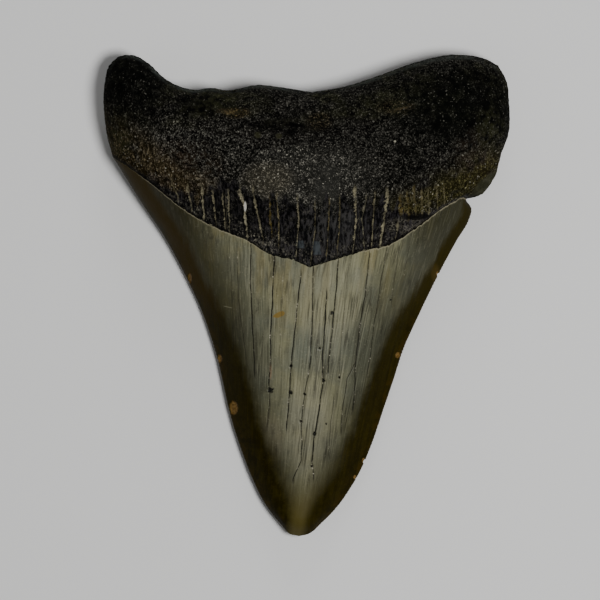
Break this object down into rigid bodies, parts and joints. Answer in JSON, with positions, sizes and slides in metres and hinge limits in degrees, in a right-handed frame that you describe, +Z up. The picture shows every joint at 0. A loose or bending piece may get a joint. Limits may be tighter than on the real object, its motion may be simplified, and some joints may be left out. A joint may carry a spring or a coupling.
{
  "type": "fossil megalodon tooth",
  "caption": "Triangular fossil shark tooth with a serrated grey crown and a thick dark root, lying on its flat outer face.",
  "frame": {"origin": "under the middle of the tooth's bounding box, on the surface that it lies on", "axes": "+Y from the crown's tip towards the root, +Z up out of the lingual (inner) face, +X to the right when the lingual face is seen with the root at the top"},
  "size_m": [0.1014, 0.1202, 0.0273],
  "materials": {
    "fossil": "satin"
  },
  "bodies": {
    "root": {"tooth": "fossil"}
  },
  "joints": []
}
